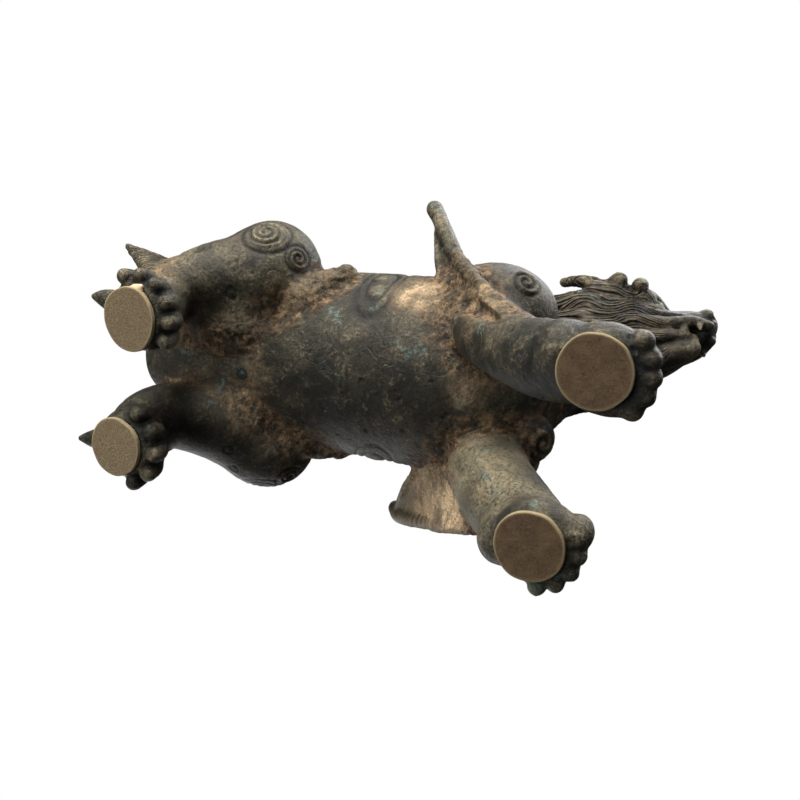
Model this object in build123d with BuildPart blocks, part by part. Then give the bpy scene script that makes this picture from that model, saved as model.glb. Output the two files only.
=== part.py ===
"""Foo dog statue: a winged guardian animal, cast in hollow bronze sections that are pegged and
brazed together, standing on four felt pads. Millimetres, +Z up, head towards -Y."""

import os
from math import cos, radians, sin

from build123d import *

# ---------------------------------------------------------------- driving dimensions
PAD_RADIUS = 14.0
PAD_THICK = 2.0
GLUE_RADIUS = 12.5
GLUE_THICK = 0.3

FRONT_TRACK = 70.0          # between the front pads' centres, across
REAR_TRACK = 62.0           # between the rear pads' centres, across
WHEELBASE = 205.0           # front to rear pads, mean
FRONT_STEP = 17.0           # how far the right front paw is ahead of the left
REAR_STEP = 9.0             # how far the left rear paw is behind the right

REAR_OVERHANG = 37.5        # of the rump behind the rear pads' mean
FRONT_OVERHANG = -22.5      # of the chest ahead of the front pads' mean, so it stands behind them
BODY_WIDTH = 98.0
BODY_HEIGHT = 88.0
BODY_MID_Z = 104.0
SHELL_WALL = 4.0
CHEST_CURL_RADIUS = 12.0    # curl of fur on each side of the chest
CHEST_CURL_TRACK = 38.0     # between the two curls' centres, across

# Places of joints: outwards from the body's side, back from the mean of the front pads or of the
# rear pads, and height
SHOULDER_PLACE = (-22.0, 62.5, 100.0)
SHOULDER_RADIUS = 22.0
ELBOW_PLACE = (-12.0, 40.5, 52.0)
FOREARM_RADIUS = 16.0
KNEE_PLACE = (-3.0, -26.5, 84.0)
KNEE_RADIUS = 25.0
HIP_PLACE = (-18.0, -16.5, 88.0)
HOCK_PLACE = (-13.0, 4.5, 56.0)
HOCK_RADIUS = 14.0

PAW_LENGTH = 36.0
PAW_WIDTH = 31.0
PAW_HEIGHT = 25.0
PAW_LEAD = 2.5              # the paw's middle is this far ahead of its pad's
PAW_CORE = 12.0             # height over the sole at which the limb ends inside the paw
TOE_RADIUS = 6.0
TOE_COUNT = 4
TOE_FAN = 115.0             # arc that the toes take up, degrees

NECK_START = (-2.0, 32.0, 22.0)         # from the chest's front: across, back, up from mid-height
NECK_RISE = (-18.0, -37.0, 27.0)        # from the neck's start to where the head meets it
NECK_RADIUS = 28.0
MANE_CURLS = 9
MANE_CURL_RADIUS = 8.5
HEAD_TURN = 16.0                        # to the animal's right, degrees
HEAD_PITCH = 9.0                        # nose up, degrees
HEAD_ROLL = 24.0                        # crown to the animal's right, degrees
HEAD_LENGTH = 58.0
HEAD_WIDTH = 54.0
HEAD_HEIGHT = 48.0
BROW_RADIUS = 8.0
JAW_LENGTH = 46.0
JAW_ROOT = 0.10                         # where the jaw starts, as a share of the head's length
JAW_WIDTH = 28.0
JAW_DEPTH = 8.0
EAR_LENGTH = 26.0
EAR_RADIUS = 6.5

PLUME_THICK = 6.0
PLUME_WIDTH = 32.0
PLUME_BEND_PLACE = (7.0, 73.5, 84.0)    # measured as the joints of the front legs are
PLUME_TIP_PLACE = (38.0, 110.5, 134.0)
TUFT_LENGTH = 43.0
TUFT_RADIUS = 11.0
TAIL_HEIGHT = 66.0
TAIL_RADIUS = 11.0

PEG_RADIUS = 4.0
PEG_LENGTH = 24.0
PEG_CLEARANCE = 0.15
PLUG_RADIUS = 3.0
PLUG_CLEARANCE = 0.1

# ---------------------------------------------------------------- places that follow from them
SOLE_Z = PAD_THICK + GLUE_THICK
TOE_LIFT = 0.8 * TOE_RADIUS             # of a toe's centre over the sole, so the sole cuts it flat
FRONT_Y = -WHEELBASE / 2
REAR_Y = WHEELBASE / 2
CHEST_Y = FRONT_Y - FRONT_OVERHANG
BODY_LENGTH = REAR_Y + REAR_OVERHANG - CHEST_Y
BODY_MID_Y = CHEST_Y + BODY_LENGTH / 2
ACROSS = Vector(1, 0, 0)
UP = Vector(0, 0, 1)
SIDES = {"right": -1, "left": 1}

# Pad centre, and the way its toes point, in degrees outwards from straight ahead
PAWS = {
    "front_right": (-FRONT_TRACK / 2, -WHEELBASE / 2 - FRONT_STEP / 2, -20),
    "front_left": (FRONT_TRACK / 2, -WHEELBASE / 2 + FRONT_STEP / 2, 35),
    "rear_right": (-REAR_TRACK / 2, WHEELBASE / 2 - REAR_STEP / 2, 30),
    "rear_left": (REAR_TRACK / 2, WHEELBASE / 2 + REAR_STEP / 2, 30),
}

# Torso sections: share of the length from the middle, rise of the centre as a share of the
# height, then half width and half height as shares of half the body's width and height.
TORSO = [
    (0.500, -0.27, 0.30, 0.34),
    (0.445, -0.23, 0.60, 0.66),
    (0.295, -0.14, 0.88, 0.90),
    (0.090, -0.05, 0.98, 0.96),
    (-0.090, 0.00, 1.00, 1.00),
    (-0.250, 0.05, 1.03, 1.05),
    (-0.375, 0.10, 0.80, 0.96),
    (-0.448, 0.15, 0.48, 0.66),
    (-0.480, 0.18, 0.22, 0.28),
]


def placed_at(place, mean_y):
    """A point given outwards from the body's side, back from a mean y, and up."""
    outwards, back, up = place
    return (BODY_WIDTH / 2 + outwards, mean_y + back, up)


SHOULDER = placed_at(SHOULDER_PLACE, FRONT_Y)
ELBOW = placed_at(ELBOW_PLACE, FRONT_Y)
PLUME_BEND = placed_at(PLUME_BEND_PLACE, FRONT_Y)
PLUME_TIP = placed_at(PLUME_TIP_PLACE, FRONT_Y)
KNEE = placed_at(KNEE_PLACE, REAR_Y)
HIP = placed_at(HIP_PLACE, REAR_Y)
HOCK = placed_at(HOCK_PLACE, REAR_Y)
NECK_BASE = (NECK_START[0], CHEST_Y + NECK_START[1], BODY_MID_Z + NECK_START[2])
HEAD_BASE = tuple(Vector(*NECK_BASE) + Vector(*NECK_RISE))      # where the head meets the neck

CHEST_CURL = (-0.44, -0.08)             # share of the body's length from its middle, and rise


def mirrored(point, side):
    """A point given for the left side, on either side."""
    x, y, z = point
    return (side * x, y, z)


def between(start, end, share):
    """The point `share` of the way from `start` to `end`."""
    return tuple(Vector(*start) + (Vector(*end) - Vector(*start)) * share)


def body_point(share, rise):
    """A point in the middle plane: share of the length, and rise as a share of the height."""
    return (0, BODY_MID_Y + share * BODY_LENGTH, BODY_MID_Z + rise * BODY_HEIGHT)


def torso_sections(inset):
    """The torso's oval sections, drawn in by `inset` all round and at both ends."""
    result = []
    for index, (share, rise, width, height) in enumerate(TORSO):
        end = (index == len(TORSO) - 1) - (index == 0)
        origin = Vector(*body_point(share, rise)) + Vector(0, end * inset, 0)
        with BuildSketch(Plane(origin=origin, x_dir=(1, 0, 0), z_dir=(0, -1, 0))) as section:
            Ellipse(width * BODY_WIDTH / 2 - inset, height * BODY_HEIGHT / 2 - inset)
        result.append(section.sketch)
    return result


def limb_sections(stations, across=ACROSS):
    """Oval sections square to a bent line. Each station is a point, the half size along
    `across` and the half size square to it."""
    points = [Vector(*point) for point, _, _ in stations]
    result = []
    for index, (_, half_across, half_other) in enumerate(stations):
        before = points[max(index - 1, 0)]
        after = points[min(index + 1, len(points) - 1)]
        travel = (after - before).normalized()
        sideways = across - travel * across.dot(travel)
        with BuildSketch(Plane(origin=points[index], x_dir=sideways, z_dir=travel)) as section:
            Ellipse(half_across, half_other)
        result.append(section.sketch)
    return result


def paw_sections(x, y):
    """A paw as stacked ovals from the sole up: flat below, rounded above."""
    result = []
    for lift, grow in ((0.0, 0.90), (0.35, 1.0), (0.75, 0.86), (1.0, 0.55)):
        with BuildSketch(Plane(origin=(x, y, SOLE_Z + lift * PAW_HEIGHT))) as section:
            Ellipse(grow * PAW_WIDTH / 2, grow * PAW_LENGTH / 2)
        result.append(section.sketch)
    return result


def toe_spots(x, y, heading):
    """Centres of the toes, in an arc round the front of a paw."""
    spots = []
    for index in range(TOE_COUNT):
        angle = radians(heading - 90 + TOE_FAN * (index / (TOE_COUNT - 1) - 0.5))
        reach_x = (PAW_WIDTH / 2 - TOE_RADIUS / 3) * cos(angle)
        reach_y = (PAW_LENGTH / 2 - TOE_RADIUS / 3) * sin(angle)
        spots.append((x + reach_x, y + reach_y, SOLE_Z + TOE_LIFT))
    return spots


# ---------------------------------------------------------------- torso form and its core
with BuildPart() as torso_form:
    loft(torso_sections(0))
    for side in SIDES.values():
        curl_y, curl_z = body_point(*CHEST_CURL)[1:]
        with Locations((side * CHEST_CURL_TRACK / 2, curl_y, curl_z)):
            Sphere(CHEST_CURL_RADIUS)

with BuildPart() as torso_core:
    loft(torso_sections(SHELL_WALL))


# ---------------------------------------------------------------- pegs between the castings
def peg_plane(middle, towards):
    """The plane through a peg's inner end, for a peg whose middle is given."""
    travel = (Vector(*towards) - Vector(*middle)).normalized()
    return Plane(origin=Vector(*middle) - travel * (PEG_LENGTH / 2), z_dir=travel)


def peg_form(plane, clearance):
    """A straight peg, or its socket when a clearance is given."""
    with BuildPart(mode=Mode.PRIVATE) as form:
        with BuildSketch(plane.offset(-clearance)):
            Circle(PEG_RADIUS + clearance)
        extrude(amount=PEG_LENGTH + 2 * clearance)
    return form.part


neck_mid = between(NECK_BASE, HEAD_BASE, 0.5)
head_dir = Vector(0, -1, 0).rotate(Axis.X, -HEAD_PITCH).rotate(Axis.Z, -HEAD_TURN)
head_up = UP.rotate(Axis.Y, -HEAD_ROLL)
head_side = head_dir.cross(head_up).normalized()
head_up = head_side.cross(head_dir).normalized()
head_plane = Plane(origin=HEAD_BASE, x_dir=head_side, z_dir=head_dir)


def at_head(share, rise=0.0, shift=0.0):
    """A point on the head: share of its length ahead of the neck, rise and shift to its right."""
    forward = head_dir * (share * HEAD_LENGTH)
    return tuple(Vector(*HEAD_BASE) + forward + head_up * rise + head_side * shift)


# ---------------------------------------------------------------- legs
def leg_stations(name, paw_x, paw_y):
    """The bent line of a leg, from inside the torso down to the paw, with its half sizes."""
    side = SIDES[name.split("_")[1]]
    if name.startswith("front"):
        shoulder = mirrored(SHOULDER, side)
        elbow = mirrored(ELBOW, side)
        return [
            (shoulder, SHOULDER_RADIUS, SHOULDER_RADIUS + 4),
            (between(shoulder, elbow, 0.55), SHOULDER_RADIUS - 2, SHOULDER_RADIUS),
            (elbow, FOREARM_RADIUS + 1, FOREARM_RADIUS + 2),
            ((paw_x, paw_y + FOREARM_RADIUS, SOLE_Z + PAW_HEIGHT), FOREARM_RADIUS, FOREARM_RADIUS),
            ((paw_x, paw_y + 4, SOLE_Z + PAW_CORE), FOREARM_RADIUS - 2, FOREARM_RADIUS - 2),
        ]
    knee = mirrored(KNEE, side)
    hock = mirrored(HOCK, side)
    return [
        (between(knee, hock, -0.25), KNEE_RADIUS * 0.5, KNEE_RADIUS * 0.5),
        (between(knee, hock, 0.35), KNEE_RADIUS * 0.85, KNEE_RADIUS * 0.8),
        (hock, HOCK_RADIUS + 2, HOCK_RADIUS + 2),
        (between(hock, (paw_x, paw_y, 0), 0.4), HOCK_RADIUS, HOCK_RADIUS),
        ((paw_x, paw_y, SOLE_Z + PAW_CORE), HOCK_RADIUS - 1, HOCK_RADIUS - 1),
    ]


def leg_peg(name):
    """Where a leg's peg crosses from the body shell into the leg."""
    side = SIDES[name.split("_")[1]]
    if name.startswith("front"):
        shoulder = mirrored(SHOULDER, side)
        elbow = mirrored(ELBOW, side)
        return peg_plane(between(shoulder, elbow, 0.30), elbow)
    # The wall stands in to 0.84 of the body's half width beside the hip
    wall = mirrored((0.84 * (BODY_WIDTH / 2 - SHELL_WALL), HIP[1], HIP[2]), side)
    outside = mirrored((BODY_WIDTH, HIP[1], HIP[2]), side)
    return peg_plane(wall, outside)


leg_peg_planes = {name: leg_peg(name) for name in PAWS}
neck_peg_plane = peg_plane(body_point(-0.46, 0.20), body_point(-0.62, 0.40))
head_peg_plane = peg_plane(HEAD_BASE, at_head(1.0))
tail_peg_plane = peg_plane(body_point(0.47, -0.10), body_point(0.60, 0.02))

legs = {}
for name, (pad_x, pad_y, heading) in PAWS.items():
    side = SIDES[name.split("_")[1]]
    paw_y = pad_y - PAW_LEAD
    with BuildPart() as leg:
        loft(paw_sections(pad_x, paw_y))
        for spot in toe_spots(pad_x, paw_y, side * heading):
            with Locations(spot):
                Sphere(TOE_RADIUS)
        loft(limb_sections(leg_stations(name, pad_x, paw_y)))
        if name.startswith("rear"):
            for joint in (KNEE, HIP):
                with Locations(mirrored(joint, side)):
                    Sphere(KNEE_RADIUS)
        split(bisect_by=Plane.XY.offset(SOLE_Z), keep=Keep.TOP)
        add(torso_form.part, mode=Mode.SUBTRACT)
        add(peg_form(leg_peg_planes[name], PEG_CLEARANCE), mode=Mode.SUBTRACT)
    leg.part.label = name + "_leg"
    legs[name] = leg

# ---------------------------------------------------------------- head, jaw and ears
with BuildPart() as head:
    loft(
        limb_sections(
            [
                (at_head(0.0, 1), HEAD_WIDTH * 0.47, HEAD_HEIGHT * 0.46),
                (at_head(0.25, 2), HEAD_WIDTH * 0.50, HEAD_HEIGHT * 0.50),
                (at_head(0.55, 2), HEAD_WIDTH * 0.36, HEAD_HEIGHT * 0.35),
                (at_head(0.85, 1), HEAD_WIDTH * 0.25, HEAD_HEIGHT * 0.23),
                (at_head(1.0, 0), HEAD_WIDTH * 0.17, HEAD_HEIGHT * 0.16),
            ],
            head_side,
        )
    )
    for shift in (-1, 1):
        with Locations(at_head(0.42, HEAD_HEIGHT * 0.28, shift * HEAD_WIDTH * 0.30)):
            Sphere(BROW_RADIUS)
    split(bisect_by=head_plane, keep=Keep.TOP)
    add(peg_form(head_peg_plane, PEG_CLEARANCE), mode=Mode.SUBTRACT)
head.part.label = "head"

jaw_share = JAW_LENGTH / HEAD_LENGTH
jaw_root = at_head(JAW_ROOT, -HEAD_HEIGHT * 0.42)
jaw_mid = at_head(JAW_ROOT + jaw_share / 2, -HEAD_HEIGHT * 0.36)
jaw_tip = at_head(JAW_ROOT + jaw_share, -HEAD_HEIGHT * 0.30)
with BuildPart() as jaw:
    loft(
        limb_sections(
            [
                (jaw_root, JAW_WIDTH * 0.50, JAW_DEPTH),
                (jaw_mid, JAW_WIDTH * 0.42, JAW_DEPTH * 0.8),
                (jaw_tip, JAW_WIDTH * 0.28, JAW_DEPTH * 0.5),
            ],
            head_side,
        )
    )
    split(bisect_by=head_plane, keep=Keep.TOP)
    add(head.part, mode=Mode.SUBTRACT)
jaw.part.label = "lower_jaw"

ears = {}
for side_name, side in SIDES.items():
    root = at_head(0.22, HEAD_HEIGHT * 0.30, -side * HEAD_WIDTH * 0.42)
    swept = (head_side * (-side * 0.30) - head_dir * 0.90 + head_up * 0.12).normalized()
    tip = tuple(Vector(*root) + swept * EAR_LENGTH)
    with BuildPart() as ear:
        loft(
            limb_sections(
                [
                    (root, EAR_RADIUS, EAR_RADIUS * 0.8),
                    (between(root, tip, 0.55), EAR_RADIUS * 1.1, EAR_RADIUS * 0.6),
                    (tip, EAR_RADIUS * 0.35, EAR_RADIUS * 0.3),
                ],
                head_dir,
            )
        )
        add(head.part, mode=Mode.SUBTRACT)
    ear.part.label = side_name + "_ear"
    ears[side_name] = ear

# ---------------------------------------------------------------- neck with its mane of curls
with BuildPart() as neck:
    loft(
        limb_sections(
            [
                (NECK_BASE, NECK_RADIUS + 4, NECK_RADIUS + 4),
                (neck_mid, NECK_RADIUS, NECK_RADIUS + 1),
                (at_head(0.2), NECK_RADIUS - 1, NECK_RADIUS - 2),
            ]
        )
    )
    for index in range(MANE_CURLS):
        angle = radians(-60 + 240 * index / (MANE_CURLS - 1))
        reach = NECK_RADIUS - MANE_CURL_RADIUS / 4
        spot = Vector(*neck_mid) + head_side * (reach * cos(angle)) + head_up * (reach * sin(angle))
        with Locations(tuple(spot)):
            Sphere(MANE_CURL_RADIUS)
    split(bisect_by=head_plane, keep=Keep.BOTTOM)
    add(torso_form.part, mode=Mode.SUBTRACT)
    for cutter in (legs["front_right"], legs["front_left"], ears["right"], ears["left"]):
        add(cutter.part, mode=Mode.SUBTRACT)
    for peg in (neck_peg_plane, head_peg_plane):
        add(peg_form(peg, PEG_CLEARANCE), mode=Mode.SUBTRACT)
neck.part.label = "neck_mane"

# ---------------------------------------------------------------- shoulder plumes, thin curved sheets
plumes = {}
for side_name, side in SIDES.items():
    leg_name = "front_" + side_name
    elbow = mirrored(ELBOW, side)
    tip = mirrored(PLUME_TIP, side)
    bend = mirrored(PLUME_BEND, side)
    half = PLUME_WIDTH / 2
    half_thick = PLUME_THICK / 2
    with BuildPart() as plume:
        loft(
            limb_sections(
                [
                    (elbow, half * 0.45, half_thick),
                    (between(elbow, bend, 0.45), half * 0.85, half_thick),
                    (bend, half * 0.90, half_thick),
                    (between(bend, tip, 0.50), half * 0.38, half_thick),
                    (tip, half * 0.24, half_thick * 0.8),
                ],
                Vector(side, 0, 0.25),
            )
        )
        add(torso_form.part, mode=Mode.SUBTRACT)
        add(legs[leg_name].part, mode=Mode.SUBTRACT)
    plume.part.label = side_name + "_plume"
    plumes[side_name] = plume

# ---------------------------------------------------------------- hock tufts and tail
tufts = {}
for side_name, side in SIDES.items():
    root = mirrored(HOCK, side)
    swept = Vector(side * 0.47, 0.88, -0.06).normalized()
    tip = tuple(Vector(*root) + swept * TUFT_LENGTH)
    with BuildPart() as tuft:
        loft(
            limb_sections(
                [
                    (root, TUFT_RADIUS * 0.8, TUFT_RADIUS),
                    (between(root, tip, 0.55), TUFT_RADIUS * 0.60, TUFT_RADIUS * 0.80),
                    (tip, TUFT_RADIUS * 0.30, TUFT_RADIUS * 0.40),
                ]
            )
        )
        add(legs["rear_" + side_name].part, mode=Mode.SUBTRACT)
        add(torso_form.part, mode=Mode.SUBTRACT)
    tuft.part.label = side_name + "_hock_tuft"
    tufts[side_name] = tuft

_, tail_y, tail_z = body_point(0.47, 0)
with BuildPart() as tail:
    loft(
        limb_sections(
            [
                ((0, tail_y - 18, tail_z - 12), TAIL_RADIUS, TAIL_RADIUS),
                ((0, tail_y, tail_z + 4), TAIL_RADIUS, TAIL_RADIUS * 0.9),
                ((0, tail_y + 6, tail_z + TAIL_HEIGHT * 0.45), TAIL_RADIUS * 1.5, TAIL_RADIUS * 0.7),
                ((0, tail_y - 4, tail_z + TAIL_HEIGHT * 0.80), TAIL_RADIUS * 1.2, TAIL_RADIUS * 0.6),
                ((0, tail_y - 14, tail_z + TAIL_HEIGHT), TAIL_RADIUS * 0.3, TAIL_RADIUS * 0.3),
            ]
        )
    )
    add(torso_form.part, mode=Mode.SUBTRACT)
    add(peg_form(tail_peg_plane, PEG_CLEARANCE), mode=Mode.SUBTRACT)
tail.part.label = "tail"

# ---------------------------------------------------------------- body shell
peg_planes = {
    **leg_peg_planes,
    "neck": neck_peg_plane,
    "head": head_peg_plane,
    "tail": tail_peg_plane,
}
plug_spots = [
    (body_point(-0.05, 0), -1),
    (body_point(0.20, 0), -1),
    (body_point(-0.05, 0), 1),
    (body_point(0.20, 0), 1),
]


def plug_form(spot, way, radius):
    """A plug through the shell's wall, above or below the middle, trimmed to that wall."""
    x, y, z = spot
    with BuildPart(mode=Mode.PRIVATE) as form:
        with BuildSketch(Plane(origin=(x, y, z), z_dir=(0, 0, way))):
            Circle(radius)
        extrude(amount=BODY_HEIGHT)
        add(torso_form.part, mode=Mode.INTERSECT)
        add(torso_core.part, mode=Mode.SUBTRACT)
    return form.part


with BuildPart() as body_shell:
    add(torso_form.part)
    add(torso_core.part, mode=Mode.SUBTRACT)
    for peg_name, peg in peg_planes.items():
        if peg_name != "head":
            add(peg_form(peg, PEG_CLEARANCE), mode=Mode.SUBTRACT)
    for spot, way in plug_spots:
        add(plug_form(spot, way, PLUG_RADIUS + PLUG_CLEARANCE), mode=Mode.SUBTRACT)
body_shell.part.label = "body_shell"

with BuildPart() as core_pin_plugs:
    for spot, way in plug_spots:
        add(plug_form(spot, way, PLUG_RADIUS))
core_pin_plugs.part.label = "core_pin_plugs"

with BuildPart() as leg_pegs:
    for name in PAWS:
        add(peg_form(leg_peg_planes[name], 0))
leg_pegs.part.label = "leg_pegs"

pegs = {}
for peg_name in ("neck", "head", "tail"):
    with BuildPart() as peg:
        add(peg_form(peg_planes[peg_name], 0))
    peg.part.label = peg_name + "_peg"
    pegs[peg_name] = peg

# ---------------------------------------------------------------- felt pads and their glue
feet = []
for name, (pad_x, pad_y, _) in PAWS.items():
    with BuildPart() as pad:
        with BuildSketch(Plane(origin=(pad_x, pad_y, 0))):
            Circle(PAD_RADIUS)
        extrude(amount=PAD_THICK)
    pad.part.label = name + "_pad"
    feet.append(pad)

with BuildPart() as pad_glue:
    for pad_x, pad_y, _ in PAWS.values():
        with BuildSketch(Plane(origin=(pad_x, pad_y, PAD_THICK))):
            Circle(GLUE_RADIUS)
        extrude(amount=GLUE_THICK)
pad_glue.part.label = "pad_glue"

# ---------------------------------------------------------------- stand it on its origin and write it
pieces = [body_shell, core_pin_plugs, neck, head, jaw, tail, leg_pegs, pad_glue, *feet]
for group in (legs, ears, plumes, tufts, pegs):
    pieces.extend(group.values())

boxes = [piece.part.bounding_box() for piece in pieces]
mid_x = (min(box.min.X for box in boxes) + max(box.max.X for box in boxes)) / 2
mid_y = (min(box.min.Y for box in boxes) + max(box.max.Y for box in boxes)) / 2
to_origin = Location((-mid_x, -mid_y, 0))

os.makedirs("parts", exist_ok=True)
for piece in pieces:
    placed = piece.part.moved(to_origin)
    placed.label = piece.part.label
    export_step(placed, "parts/" + placed.label + ".step")
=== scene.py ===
import math
from functools import partial, reduce

import bmesh
import bpy
import numpy as np
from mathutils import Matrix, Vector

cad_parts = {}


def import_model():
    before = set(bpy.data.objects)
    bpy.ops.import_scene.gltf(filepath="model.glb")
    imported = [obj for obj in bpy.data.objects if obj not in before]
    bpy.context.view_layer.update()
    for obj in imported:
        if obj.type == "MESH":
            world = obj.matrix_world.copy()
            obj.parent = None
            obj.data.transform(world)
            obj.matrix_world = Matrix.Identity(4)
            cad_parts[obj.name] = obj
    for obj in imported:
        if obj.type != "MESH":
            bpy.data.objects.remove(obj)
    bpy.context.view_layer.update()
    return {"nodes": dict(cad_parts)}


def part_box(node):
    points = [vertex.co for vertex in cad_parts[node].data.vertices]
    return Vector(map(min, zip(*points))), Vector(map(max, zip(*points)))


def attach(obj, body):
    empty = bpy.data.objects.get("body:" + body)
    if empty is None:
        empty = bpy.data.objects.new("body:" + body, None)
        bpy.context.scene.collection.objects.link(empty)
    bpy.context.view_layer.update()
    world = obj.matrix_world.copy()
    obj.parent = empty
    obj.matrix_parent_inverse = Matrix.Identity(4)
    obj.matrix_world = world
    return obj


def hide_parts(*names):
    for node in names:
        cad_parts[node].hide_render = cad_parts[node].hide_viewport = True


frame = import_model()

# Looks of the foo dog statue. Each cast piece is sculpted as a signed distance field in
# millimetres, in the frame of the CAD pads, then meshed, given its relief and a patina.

import openvdb
from mathutils import Matrix, Vector

MM = 0.001
VOXEL = 0.8
FAR = 30.0                      # field value where there is no clay, mm
SEAM_BLEND = 5.0                # width of the brazed fillets, mm
SEAM_LAP = 1.6                  # how far neighbouring castings run into each other, mm
BROAD = 3  # step of the coarse grid that shade masks are made on, voxels
RIGHT, LEFT = -1, 1
SIDE_NAME = {RIGHT: "right", LEFT: "left"}

# ---------------------------------------------------------------- the frame of the sculpture
# Millimetres, z up from the floor, head towards -y, x = 0 in the animal's middle plane.
# The front pads fix it: they stand 35 mm either side, the right one at y = -111.
FRONT_PAD = (35.0, -111.0)
pad_low, pad_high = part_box("front_right_pad")
pad_mid = (pad_low + pad_high) / 2
SHIFT = np.array([pad_mid.x / MM + FRONT_PAD[0], pad_mid.y / MM - FRONT_PAD[1], 0.0])
SOLE_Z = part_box("front_right_leg")[0].z / MM


def pad_spot(node):
    """Middle of a pad in the sculpture's frame, on the floor."""
    low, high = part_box(node)
    return np.array([(low.x + high.x) / 2 / MM, (low.y + high.y) / 2 / MM, 0.0]) - SHIFT


def P(x, y, z):
    """A point of the sculpture, in millimetres."""
    return np.array([x, y, z], float)


def unit_rows(v):
    """Each row at length one."""
    return v / np.maximum(np.linalg.norm(v, axis=1, keepdims=True), 1e-9)


def unit(v):
    """The vector at length one."""
    return v / np.linalg.norm(v)


def turned(points, side):
    """Points given for the left side, on either side."""
    return [p * np.array([side, 1, 1]) for p in points]


def corner_weights(share):
    """The eight corners of a lattice cell, and how much each counts at a place in the cell."""
    for corner in range(8):
        step = np.array([corner & 1, corner >> 1 & 1, corner >> 2 & 1])
        yield step, np.prod(np.where(step, share, 1 - share), axis=1)


# ---------------------------------------------------------------- seeded noise
def hashed(ix, iy, iz, seed):
    """A repeatable random value from 0 to 1 at each lattice point."""
    h = (ix * 374761393 + iy * 668265263 + iz * 2147483647 + seed * 1274126177) & 0xFFFFFFFF
    h = ((h ^ (h >> 13)) * 1103515245) & 0xFFFFFFFF
    h = ((h ^ (h >> 16)) * 2654435769) & 0xFFFFFFFF
    return ((h ^ (h >> 15)) & 0xFFFFFF) / float(0xFFFFFF)


def noise(points, size, seed=0):
    """Smooth noise from -1 to 1 with features of about `size` millimetres."""
    q = points / size
    base = np.floor(q).astype(np.int64)
    f = q - base
    f = f * f * (3 - 2 * f)
    total = np.zeros(len(points))
    for step, weight in corner_weights(f):
        cell = base + step
        total += weight * hashed(cell[:, 0], cell[:, 1], cell[:, 2], seed)
    return total * 2 - 1


def cells(points, size, seed=0):
    """Distance, in cell sizes, from each point to the nearest of scattered seeds."""
    q = points / size
    base = np.floor(q).astype(np.int64)
    best = np.full(len(points), 9.0)
    for step in np.ndindex(3, 3, 3):
        cell = base + np.array(step) - 1
        spot = [hashed(cell[:, 0], cell[:, 1], cell[:, 2], seed + k) for k in range(3)]
        away = np.linalg.norm(cell + np.stack(spot, axis=1) - q, axis=1)
        best = np.minimum(best, away)
    return best


def fractal(points, size, seed=0, octaves=3):
    """Noise summed over octaves, from about -1 to 1."""
    total = np.zeros(len(points))
    for octave in range(octaves):
        total += noise(points, size / 2**octave, seed + octave) / 2**octave
    return total / 1.6


# ---------------------------------------------------------------- clay: distance fields
class Clay:
    """A lump of clay: a distance field in millimetres on the lattice that all lumps share."""

    def __init__(self, low, high):
        self.start = np.floor(np.array(low) / VOXEL).astype(int)
        self.stop = np.ceil(np.array(high) / VOXEL).astype(int) + 1
        self.field = np.full(self.stop - self.start, FAR, np.float32)

    def window(self, low, high):
        """The part of the field between two corners: its slices and its coordinates."""
        first = np.clip(np.floor(np.array(low) / VOXEL).astype(int), self.start, self.stop)
        last = np.clip(np.ceil(np.array(high) / VOXEL).astype(int) + 1, self.start, self.stop)
        slices = tuple(slice(a, b) for a, b in zip(first - self.start, last - self.start))
        axes = [np.arange(a, b, dtype=np.float32) * np.float32(VOXEL) for a, b in zip(first, last)]
        return slices, np.meshgrid(*axes, indexing="ij", sparse=True)

    def merge(self, shape, blend=2.0, cut=False):
        """Adds a shape, or cuts it away, with a soft edge `blend` millimetres wide."""
        pad = blend + 2 * VOXEL
        slices, grid = self.window(shape.low - pad, shape.high + pad)
        here = self.field[slices]
        if here.size == 0:
            return
        there = shape(*grid).astype(np.float32)
        self.field[slices] = -soft_min(-here, there, blend) if cut else soft_min(here, there, blend)

    def egg(self, centre, radii, blend, axes=None, cut=False):
        """Adds or cuts an ellipsoid."""
        self.merge(egg(centre, radii, axes), blend, cut)

    def rope(self, points, radii, blend, steps=5, cut=False):
        """Adds or cuts a rod along a smooth line."""
        self.merge(rope(points, radii, steps), blend, cut)


def soft_min(a, b, blend):
    """The smaller of two fields, rounded where they are within `blend` of each other."""
    near = np.maximum(blend - np.abs(a - b), 0)
    return np.minimum(a, b) - near * near / (4 * max(blend, 1e-6))


class Shape:
    """A distance function with the box that it lies in."""

    def __init__(self, function, low, high):
        self.function, self.low, self.high = function, np.array(low, float), np.array(high, float)

    def __call__(self, x, y, z):
        return self.function(x, y, z)


def along(x, y, z, start, way):
    """How far places are along a direction from a point, times the direction's length."""
    return (x - start[0]) * way[0] + (y - start[1]) * way[1] + (z - start[2]) * way[2]


def cone_distance(x, y, z, a, b, radius_a, radius_b):
    """Distance to a rod with round ends whose radius changes along it."""
    ab = b - a
    t = along(x, y, z, a, ab) / max(ab @ ab, 1e-9)
    t = np.clip(t, 0, 1)
    away = (x - a[0] - t * ab[0]) ** 2 + (y - a[1] - t * ab[1]) ** 2 + (z - a[2] - t * ab[2]) ** 2
    return np.sqrt(away) - (radius_a + t * (radius_b - radius_a))


def curve(points, steps=6):
    """A smooth line through the points, with `steps` pieces between each two."""
    pts = [np.atleast_1d(np.array(p, float)) for p in points]
    pts = [2 * pts[0] - pts[1], *pts, 2 * pts[-1] - pts[-2]]
    line = []
    for p0, p1, p2, p3 in zip(pts, pts[1:], pts[2:], pts[3:]):
        for t in np.arange(steps) / steps:
            a = 2 * p1 + (p2 - p0) * t + (2 * p0 - 5 * p1 + 4 * p2 - p3) * t * t
            line.append((a + (3 * p1 - p0 - 3 * p2 + p3) * t**3) / 2)
    line.append(pts[-2])
    return np.array(line)


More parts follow.
